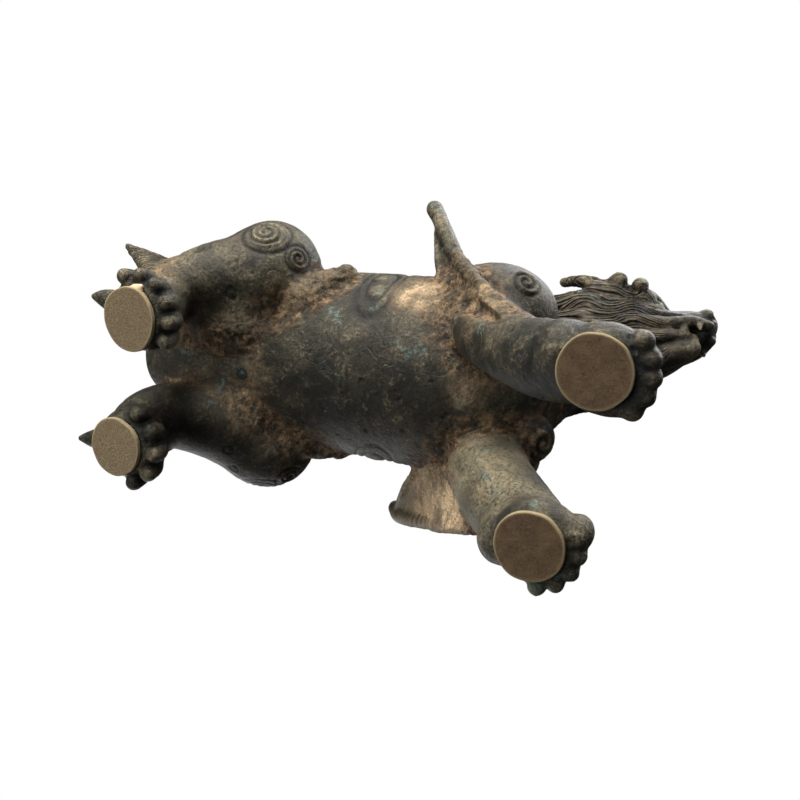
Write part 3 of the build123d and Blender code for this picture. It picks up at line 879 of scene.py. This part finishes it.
def mesh_normals(vertices, quads):
    """Vertex normals from the two diagonals of each face."""
    diagonal = np.cross(vertices[quads[:, 2]] - vertices[quads[:, 0]],
                        vertices[quads[:, 3]] - vertices[quads[:, 1]])
    normals = np.zeros_like(vertices)
    for corner in range(4):
        for axis in range(3):
            normals[:, axis] += np.bincount(quads[:, corner], diagonal[:, axis], len(vertices))
    return unit_rows(normals)


def smoothed(vertices, quads, rounds, share=0.5):
    """Moves each vertex towards its neighbours' mean, to take the lattice's steps away."""
    pairs = np.concatenate([quads[:, [k, (k + 1) % 4]] for k in range(4)])
    pairs = np.concatenate([pairs, pairs[:, ::-1]])
    count = np.bincount(pairs[:, 0], minlength=len(vertices))[:, None]
    for _ in range(rounds):
        total = np.stack(
            [np.bincount(pairs[:, 0], vertices[pairs[:, 1], k], len(vertices)) for k in range(3)], 1
        )
        vertices = vertices + share * (total / np.maximum(count, 1) - vertices)
    return vertices


def quad_mesh(name, vertices, quads):
    """A smooth-shaded mesh of quads in the row frame, in metres."""
    mesh = bpy.data.meshes.new(name)
    mesh.vertices.add(len(vertices))
    mesh.vertices.foreach_set("co", ((vertices + SHIFT) * MM).astype(np.float32).ravel())
    mesh.loops.add(quads.size)
    mesh.loops.foreach_set("vertex_index", quads.astype(np.int32).ravel())
    mesh.polygons.add(len(quads))
    mesh.polygons.foreach_set("loop_start", np.arange(0, quads.size, 4, dtype=np.int32))
    mesh.polygons.foreach_set("use_smooth", np.ones(len(quads), bool))
    mesh.update(calc_edges=True)
    mesh.validate()
    return mesh


def skin_of(clay, field):
    """The surface of a field: its vertices in millimetres, faces and outward normals."""
    grid = openvdb.FloatGrid()
    grid.background = FAR
    grid.copyFromArray(np.ascontiguousarray(field))
    vertices, quads = grid.convertToQuads(isovalue=0)
    quads = quads[:, ::-1].astype(np.int64)
    vertices = (smoothed(vertices.astype(float), quads, 2) + clay.start) * VOXEL
    normals = mesh_normals(vertices, quads)
    if ((vertices - vertices.mean(0)) * normals).sum() < 0:
        quads, normals = quads[:, ::-1], -normals
    return vertices, quads, normals


def cast_piece(name, material):
    """Meshes one casting, adds its relief and masks, and puts it in the place of its CAD node."""
    clay = CASTINGS[name]
    field, beside = joined(name)
    vertices, quads, normals = skin_of(clay, field)
    dust_and_painted_light, wear_and_painted_light = LOOK.get(name, (1.0, 0.15))
    reach = 12 + 6 * noise(vertices, 15, 81)
    seam = np.clip(1.25 - sampled(beside, clay.start, vertices) / reach, 0, 1) * dust_and_painted_light
    pale = pale_dust_and_plume_light(name, vertices)
    combed, phase, hair = fur(name, vertices)
    height = relief(vertices, normals) + combed
    rough = weathering(vertices, np.maximum(seam, 0.8 * pale))
    on_skin = sampled(np.maximum(clay.field - 0.5, -9), clay.start, vertices) > -4
    vertices = vertices + normals * ((height + rough) * on_skin)[:, None]
    vertices[:, 2] = np.maximum(vertices[:, 2], SOLE_Z)
    above_the_sole = np.clip((vertices[:, 2] - 5) / 16, 0.2, 1)
    fine = sampled(SHADE_FINE, SHADE_START, vertices, SHADE_STEP)
    wide = sampled(SHADE_WIDE, SHADE_START, vertices, SHADE_STEP)
    mesh = quad_mesh(name.replace("_", "."), vertices, quads)
    masks = {
        "hollow": np.clip((wide - 0.5) * 3.5, 0, 1) * dust_and_painted_light,
        # wear, and painted light on the lit faces of the front left leg, the rear right leg and the
        # left plume
        "wear_and_painted_light": wear_and_painted_light * (0.75 + 0.5 * noise(vertices, 12, 82)) * above_the_sole,
        "phase": phase,
        "pale": pale,
        "hair": hair,
        "edge": np.clip((0.5 - fine) * 4 + height * 0.4, 0, 1),
        # painted shade: darker in the relief's grooves and where much metal is near
        "groove_shade": np.clip(-(height - 0.6 * combed) * 1.2 + (fine - 0.52) * 4, 0, 1),
        "seam": np.maximum(seam, pale),
    }
    add_masks(mesh, masks)
    settled(mesh, name, material)


# ---------------------------------------------------------------- materials
class Nodes:
    """A short way to write a shader's nodes."""

    def __init__(self, name):
        self.material = bpy.data.materials.new(name)
        self.material.use_nodes = True
        self.tree = self.material.node_tree
        self.shader = self.tree.nodes["Principled BSDF"]

    def add(self, kind, settings=None, **inputs):
        """A node, with its settings and its inputs; an underscore stands for a space."""
        node = self.tree.nodes.new(kind)
        for key, value in (settings or {}).items():
            setattr(node, key, value)
        for key, value in inputs.items():
            self.join(value, node.inputs[key.replace("_", " ")])
        return node

    def join(self, value, socket):
        """Links a socket to another, or sets it to a constant."""
        if isinstance(value, bpy.types.NodeSocket):
            self.tree.links.new(value, socket)
        else:
            socket.default_value = value

    def noise(self, scale, detail=4.0, rough=0.55, distortion=0.0):
        """Noise over the object's own coordinates; `scale` is in features per metre."""
        place = self.add("ShaderNodeTexCoord").outputs["Object"]
        node = self.add(
            "ShaderNodeTexNoise", Vector=place, Scale=scale, Detail=detail, Roughness=rough,
            Distortion=distortion,
        )
        return node.outputs["Fac"]

    def ramp(self, factor, *stops):
        """A ramp from (position, value) stops; values are greys or colours."""
        node = self.add("ShaderNodeValToRGB", Fac=factor)
        ramp = node.color_ramp
        while len(ramp.elements) < len(stops):
            ramp.elements.new(0.5)
        for element, (position, value) in zip(ramp.elements, stops):
            element.position = position
            grey = isinstance(value, (int, float))
            element.color = (value, value, value, 1) if grey else (*value, 1)
        return node.outputs["Color"]

    def mask(self, name):
        """A value that the mesh carries on its vertices."""
        return self.add("ShaderNodeAttribute", {"attribute_name": name}).outputs["Fac"]

    def math(self, operation, a, b=0.0, clamp=False):
        """The result of a sum."""
        node = self.tree.nodes.new("ShaderNodeMath")
        node.operation, node.use_clamp = operation, clamp
        self.join(a, node.inputs[0])
        self.join(b, node.inputs[1])
        return node.outputs[0]

    def times(self, a, b, clamp=False):
        return self.math("MULTIPLY", a, b, clamp)

    def plus(self, a, b, clamp=False):
        return self.math("ADD", a, b, clamp)

    def bumped(self, height, strength, distance):
        """The normal of a skin with a height in metres over it."""
        node = self.add("ShaderNodeBump", Strength=strength, Distance=distance, Height=height)
        return node.outputs["Normal"]

    def finish(self, **sockets):
        """Sets the shader's sockets and gives the material."""
        for key, value in sockets.items():
            self.join(value, self.shader.inputs[key.replace("_", " ")])
        return self.material

    def mix(self, factor, a, b):
        """Colour a turned into colour b by the factor."""
        node = self.tree.nodes.new("ShaderNodeMix")
        node.data_type = "RGBA"
        self.join(factor, node.inputs["Factor"])
        for value, socket in ((a, node.inputs["A"]), (b, node.inputs["B"])):
            self.join(value if isinstance(value, bpy.types.NodeSocket) else (*value, 1), socket)
        return node.outputs["Result"]


# Linear colours of the metal, its patina and what lies on it. The soot colour also paints shade in
# the grooves and recesses, and the pale and khaki colours partly paint light on lit faces.
DARK = (0.0040, 0.0054, 0.0058)
OLIVE = (0.021, 0.0200, 0.0152)
PALE = (0.440, 0.325, 0.200)
KHAKI = (0.200, 0.168, 0.105)
SOOT_AND_SHADE = (0.007, 0.006, 0.005)
BROWN = (0.048, 0.032, 0.019)
OCHRE = (0.215, 0.140, 0.076)
VERDIGRIS = (0.075, 0.130, 0.122)


def bronze_colour(n, broad, blotch, fine):
    """Green-black patina that wear turns olive and khaki, with specks of verdigris. The khaki is
    partly painted light on the lit faces of some castings, and painted shade darkens the grooves
    and recesses.
    """
    both = n.plus(n.times(broad, 0.5), n.times(blotch, 0.5))
    base = n.mix(n.ramp(both, (0.48, 0.0), (0.66, 1.0)), DARK, OLIVE)
    streak = n.ramp(n.times(blotch, fine), (0.29, 0.0), (0.36, 1.0))
    base = n.mix(n.times(streak, 0.30), base, KHAKI)
    brightening = n.times(n.mask("edge"), n.ramp(blotch, (0.40, 0.15), (0.60, 1.0)), True)
    # painted light: the lit faces of some castings turn khaki, along with real wear
    wear_and_painted_light = n.times(n.mask("wear_and_painted_light"), n.ramp(both, (0.36, 0.35), (0.56, 1.0)))
    brightening = n.plus(n.times(brightening, 0.5), wear_and_painted_light, True)
    base = n.mix(brightening, base, KHAKI)
    # painted shade: near black in the grooves and recesses
    base = n.mix(n.times(n.mask("groove_shade"), 0.85, True), base, SOOT_AND_SHADE)
    speckle = n.ramp(n.noise(700, 4, 0.8), (0.40, 0.75), (0.52, 0.0))
    base = n.mix(speckle, base, SOOT_AND_SHADE)
    green = n.ramp(n.noise(60, 3, 0.5, 1.0), (0.63, 0.0), (0.68, 1.0))
    green = n.times(green, n.ramp(fine, (0.46, 0.0), (0.54, 1.0)))
    return n.mix(n.times(green, 0.5), base, VERDIGRIS)


def crazing(n):
    """Thin cracks in the patina, 1 on a crack, only here and there."""
    place = n.add("ShaderNodeTexCoord").outputs["Object"]
    sway = n.add("ShaderNodeTexNoise", Vector=place, Scale=90.0, Detail=3.0).outputs["Color"]
    sway = n.add("ShaderNodeVectorMath", {"operation": "SCALE"}, Vector=sway, Scale=0.012)
    moved = n.add("ShaderNodeVectorMath", {"operation": "ADD"}, Vector=place)
    n.tree.links.new(sway.outputs["Vector"], moved.inputs[1])
    net = n.add(
        "ShaderNodeTexVoronoi", {"feature": "DISTANCE_TO_EDGE"},
        Vector=moved.outputs["Vector"], Scale=75.0,
    ).outputs["Distance"]
    lines = n.ramp(net, (0.0, 1.0), (0.035, 0.0))
    return n.times(lines, n.ramp(n.noise(35, 2), (0.50, 0.0), (0.60, 1.0)))


def dirt_colour(n, grit):
    """Soot, brown and ochre grains, and pale dust where it lies thick, which on the left plume is
    partly painted light.
    """
    dirt = n.mix(n.ramp(grit, (0.43, 0.0), (0.50, 1.0)), SOOT_AND_SHADE, BROWN)
    dirt = n.mix(n.ramp(n.noise(230, 6, 0.8), (0.46, 0.0), (0.60, 0.9)), dirt, OCHRE)
    caked_and_lit = n.times(n.mask("pale"), n.ramp(grit, (0.40, 0.2), (0.52, 1.0)))
    return n.mix(caked_and_lit, dirt, PALE)


def bronze_material():
    """Old bronze, with granular ochre dirt in the hollows and along the seams."""
    n = Nodes("patinated.bronze")
    broad = n.noise(24, 5, 0.6)
    blotch = n.noise(85, 6, 0.7, 0.5)
    fine = n.noise(480, 5, 0.75)
    grit = n.noise(900, 5, 0.8)
    cracks = crazing(n)
    place = n.plus(n.times(n.mask("hollow"), 0.7), n.mask("seam"))
    patchy = n.ramp(n.noise(140, 5, 0.7), (0.40, 0.0), (0.56, 1.0))
    dust_and_painted_light = n.times(place, n.plus(n.times(patchy, 0.88), 0.12), True)
    # pale dust, and on the left plume painted light on its lit inner face
    dust_and_painted_light = n.plus(dust_and_painted_light, n.times(n.mask("pale"), 0.35), True)
    base = n.mix(n.times(cracks, 0.35), bronze_colour(n, broad, blotch, fine), BROWN)
    base = n.mix(dust_and_painted_light, base, dirt_colour(n, grit))
    rough = n.plus(n.times(blotch, 0.50), 0.17)
    rough = n.plus(rough, n.times(dust_and_painted_light, 0.30), True)
    metal = n.times(n.math("SUBTRACT", 1.0, dust_and_painted_light, True), 0.25)
    hairs = n.math("SINE", n.times(n.mask("phase"), 4 * math.pi))
    hairs = n.times(n.times(hairs, n.mask("hair")), 0.35)
    skin = n.plus(n.times(fine, 0.7), n.times(blotch, 0.9))
    skin = n.plus(skin, n.times(n.times(grit, dust_and_painted_light), 1.1))
    skin = n.math("SUBTRACT", skin, n.times(cracks, 0.22))
    skin = n.plus(skin, hairs)
    return n.finish(
        Base_Color=base, Roughness=rough, Metallic=metal, Specular_IOR_Level=0.13,
        Normal=n.bumped(skin, 0.9, 0.0012),
    )


def felt_material():
    """Pressed brown felt: matted fibres, dark specks, a paler rim, and painted light that makes
    some pads lighter.
    """
    n = Nodes("brown.felt")
    fibre = n.noise(1500, 6, 0.8, 1.5)
    cloud = n.noise(160, 3, 0.5)
    matted = n.ramp(fibre, (0.38, 0.0), (0.62, 1.0))
    dim_felt = n.mix(matted, (0.022, 0.014, 0.008), (0.105, 0.068, 0.040))
    pad_light = n.mix(matted, (0.060, 0.044, 0.025), (0.300, 0.240, 0.150))
    # painted light: lighter felt where a pad is painted as lit
    tone = n.mix(n.mask("brightening"), dim_felt, pad_light)
    tone = n.mix(n.ramp(cloud, (0.4, 0.0), (0.65, 0.4)), tone, (0.120, 0.080, 0.044))
    tone = n.mix(n.times(n.mask("rim"), 0.8), tone, (0.230, 0.185, 0.105))
    return n.finish(
        Base_Color=tone, Roughness=0.95, Specular_IOR_Level=0.15,
        Normal=n.bumped(fibre, 0.8, 0.0005),
    )


def glue_material():
    """Dried contact glue, yellowish and slightly glossy."""
    n = Nodes("dried.glue")
    tone = n.mix(n.noise(300, 3), (0.32, 0.20, 0.11), (0.48, 0.34, 0.22))
    return n.finish(Base_Color=tone, Roughness=0.45)


# ---------------------------------------------------------------- felt pads and glue
PAD_RINGS = 22                  # rings of vertices on a pad's face
PAD_SPOKES = 96                 # vertices in each ring
PAD_BACK_RINGS = 8
GLUE_RADIUS = 12.9              # mean, mm
GLUE_LAP = 0.25                 # how far the glue runs into the felt and the paw, mm
GLUE_LUMP = P(-13.4, -3.5, 2.0)     # the squeezed lump, from the middle of its pad
GLUE_LUMP_SIZE = P(2.3, 4.0, 1.5)   # half its length each way, mm

turn = np.arange(PAD_SPOKES) * 2 * math.pi / PAD_SPOKES
SPOKES = np.stack([np.cos(turn), np.sin(turn), 0 * turn], 1)


def felt_profile(radius, thick):
    """Radius and height of each ring of a felt disc: over its face, up its rim, over its back."""
    shares = [k / PAD_RINGS for k in range(1, PAD_RINGS + 1)]
    face = [(radius * min(share * 1.03, 1.0), 0.0 if share < 0.96 else 0.25) for share in shares]
    rim = [(radius, thick * share) for share in (0.35, 0.6, 0.85)]
    back = [(radius * (1 - k / PAD_BACK_RINGS), thick) for k in range(PAD_BACK_RINGS)]
    return face + rim + back


def disc_faces(rows):
    """Faces between rings of vertices, with fans that close them onto the last two vertices."""
    faces = []
    first, last = rows * PAD_SPOKES, (rows - 1) * PAD_SPOKES
    for k in range(PAD_SPOKES):
        m = (k + 1) % PAD_SPOKES
        for row in range(0, last, PAD_SPOKES):
            below = row + PAD_SPOKES
            faces.append((row + k, below + k, below + m, row + m))
        faces.append((first, k, m))
        faces.append((first + 1, last + m, last + k))
    return faces


def felt_pad(name, material, seed, brightening):
    """A hand-cut felt disc: softened rim, out of round, with a matted face."""
    low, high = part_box(name)
    middle = pad_spot(name)
    radius = (high.x - low.x) / 2 / MM
    thick = (high.z - low.z) / MM
    profile = felt_profile(radius, thick)
    points = np.concatenate([r * SPOKES + P(0, 0, z) for r, z in profile])
    wobble = np.tile(noise(SPOKES, 0.45, seed), len(profile))
    share = np.hypot(points[:, 0], points[:, 1]) / radius
    points[:, :2] *= (1 + 0.022 * (wobble * share**4)[:, None])
    if name == "rear_right_pad":
        tongue = np.clip(unit_rows(points[:, :2]) @ np.array([0.94, -0.34]), 0, 1) ** 3
        points[:, :2] *= (1 + 0.10 * tongue * share**3)[:, None]
    fuzz = noise(points + middle, 0.9, seed) + 0.7 * noise(points + middle, 0.45, seed + 1)
    face = (points[:, 2] < 0.3) & (share < 0.97)
    points[:, 2] += np.where(face, 0.06 + 0.05 * fuzz, 0)
    points[:, 2] = np.maximum(points[:, 2], 0)
    ends = np.array([[0, 0, 0.05], [0, 0, thick]])
    vertices = (np.concatenate([points, ends]) + middle + SHIFT) * MM
    mesh = bpy.data.meshes.new(name)
    mesh.from_pydata([tuple(v) for v in vertices], [], disc_faces(len(profile)))
    mesh.polygons.foreach_set("use_smooth", np.ones(len(mesh.polygons), bool))
    rim = np.concatenate([np.clip((share - 0.93) / 0.05, 0, 1), [0, 0]])
    # painted light: how much lighter this pad is painted
    add_masks(mesh, {"rim": rim, "brightening": np.full(len(vertices), brightening)})
    piece = settled(mesh, name, material)


def glue_film(material, pads):
    """The glue under the pads, ragged at its edge, and a lump squeezed out at one of them."""
    low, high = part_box("pad_glue")
    bottom, top = low.z / MM - GLUE_LAP, high.z / MM + GLUE_LAP
    shape = bmesh.new()
    for number, name in enumerate(pads):
        radius = GLUE_RADIUS * (1 + 0.03 * noise(SPOKES, 0.3, 90 + number))[:, None]
        outline = pad_spot(name) + SHIFT + SPOKES * radius
        lower = [shape.verts.new((p + P(0, 0, bottom)) * MM) for p in outline]
        upper = [shape.verts.new((p + P(0, 0, top)) * MM) for p in outline]
        shape.faces.new(lower[::-1])
        shape.faces.new(upper)
        for k in range(PAD_SPOKES):
            m = (k + 1) % PAD_SPOKES
            shape.faces.new((lower[k], lower[m], upper[m], upper[k]))
    middle = pad_spot("rear_right_pad") + SHIFT + GLUE_LUMP
    made = bmesh.ops.create_icosphere(shape, subdivisions=4, radius=1.0)
    for vert in made["verts"]:
        way = np.array(vert.co)
        size = GLUE_LUMP_SIZE * (1 + 0.25 * noise(way[None], 0.7, 97)[0])
        vert.co = Vector((middle + way * size) * MM)
    mesh = bpy.data.meshes.new("pad.glue")
    shape.to_mesh(mesh)
    shape.free()
    mesh.polygons.foreach_set("use_smooth", np.ones(len(mesh.polygons), bool))
    settled(mesh, "pad_glue", material)


# ---------------------------------------------------------------- stage, lights and camera
FLOOR_SIZE, FLOOR_DROP = 4.0, 0.0002    # metres
EVEN_LIGHT = 0.07                       # strength of the light from all round


def stage():
    """A pale floor under the statue. It can be looked through from below."""
    bpy.ops.mesh.primitive_plane_add(size=FLOOR_SIZE, location=(0, 0, -FLOOR_DROP))
    floor = bpy.context.object
    floor.name = "floor"
    n = Nodes("pale.floor")
    place = n.add("ShaderNodeTexCoord").outputs["Object"]
    away = n.add("ShaderNodeVectorMath", {"operation": "LENGTH"}, Vector=place).outputs["Value"]
    glow = n.ramp(away, (0.25, 0.5), (0.95, 1.0))
    n.finish(
        Base_Color=(0.60, 0.60, 0.59, 1), Roughness=0.9,
        Emission_Color=(1.0, 1.0, 0.99, 1), Emission_Strength=glow,
    )
    clear = n.add("ShaderNodeBsdfTransparent")
    mixed = n.add("ShaderNodeMixShader", Fac=n.add("ShaderNodeNewGeometry").outputs["Backfacing"])
    n.join(n.shader.outputs[0], mixed.inputs[1])
    n.join(clear.outputs[0], mixed.inputs[2])
    n.join(mixed.outputs[0], n.tree.nodes["Material Output"].inputs["Surface"])
    floor.data.materials.append(n.material)
    floor.visible_shadow = False
    floor.visible_diffuse = False
    floor.visible_glossy = False


def softbox(name, place, width, power, colour):
    """A square soft light, placed in the sculpture's millimetres, with its width in metres and
    its power in watts."""
    light = bpy.data.lights.new(name, "AREA")
    light.size = width
    light.energy = power
    light.color = colour
    lamp = bpy.data.objects.new(name, light)
    lamp.location = (place + SHIFT) * MM
    lamp.rotation_euler = Vector(MIDDLE - place).to_track_quat("-Z", "Y").to_euler()
    bpy.context.scene.collection.objects.link(lamp)


EYE = P(-90, -167, -296)        # camera, under the front right of the statue
AIM = P(13, 8, 104)
ROLL = math.radians(65.8)
LENS, SENSOR = 38.25, 36.0


def camera():
    """The camera looks up at the belly from below the right front paw."""
    data = bpy.data.cameras.new("camera")
    data.lens, data.sensor_width = LENS, SENSOR
    data.clip_start, data.clip_end = 0.01, 20
    cam = bpy.data.objects.new("camera", data)
    cam.location = (EYE + SHIFT) * MM
    look = Vector(AIM - EYE).to_track_quat("-Z", "Y")
    cam.rotation_mode = "QUATERNION"
    cam.rotation_quaternion = look @ Matrix.Rotation(ROLL, 3, "Z").to_quaternion()
    bpy.context.scene.collection.objects.link(cam)
    bpy.context.scene.camera = cam


def world():
    """White behind the statue, and a dim even light round it."""
    w = bpy.data.worlds.new("studio")
    bpy.context.scene.world = w
    w.use_nodes = True
    tree = w.node_tree
    back = tree.nodes["Background"]
    back.inputs["Color"].default_value = (1, 1, 1, 1)
    path = tree.nodes.new("ShaderNodeLightPath").outputs["Is Camera Ray"]
    strength = tree.nodes.new("ShaderNodeMapRange")
    strength.inputs["To Min"].default_value = EVEN_LIGHT
    strength.inputs["To Max"].default_value = 1.0
    tree.links.new(path, strength.inputs["Value"])
    tree.links.new(strength.outputs[0], back.inputs["Strength"])


BRONZE = bronze_material()
for node_name in CASTINGS:
    cast_piece(node_name, BRONZE)
FELT = felt_material()
# How much painted light lightens each felt pad
PADS = {
    "front_right_pad": 0.0,
    "front_left_pad": 0.0,
    "rear_right_pad": 0.5,
    "rear_left_pad": 0.6,
}
for number, (pad_name, pad_light) in enumerate(PADS.items()):
    felt_pad(pad_name, FELT, 60 + number, pad_light)
glue_film(glue_material(), PADS)
for hidden in ("leg_pegs", "neck_peg", "head_peg", "tail_peg", "core_pin_plugs"):
    frame["nodes"][hidden].data.materials.clear()
    frame["nodes"][hidden].data.materials.append(BRONZE)

MIDDLE = P(0, 0, 95)            # what the lights point at
WARM, COOL, WHITE = (1.0, 0.985, 0.955), (0.95, 0.98, 1.0), (1, 1, 1)
stage()
softbox("key", P(-780, 200, -60), 0.5, 25, WARM)
softbox("low", P(-160, 330, -620), 0.5, 5.2, WARM)
softbox("front_low", P(-350, -700, -200), 0.5, 1.0, COOL)
softbox("top", P(-520, -260, 760), 0.8, 14, WHITE)
softbox("far", P(700, 520, 260), 0.8, 4, WHITE)
camera()
world()
bpy.context.scene.view_settings.view_transform = "Standard"
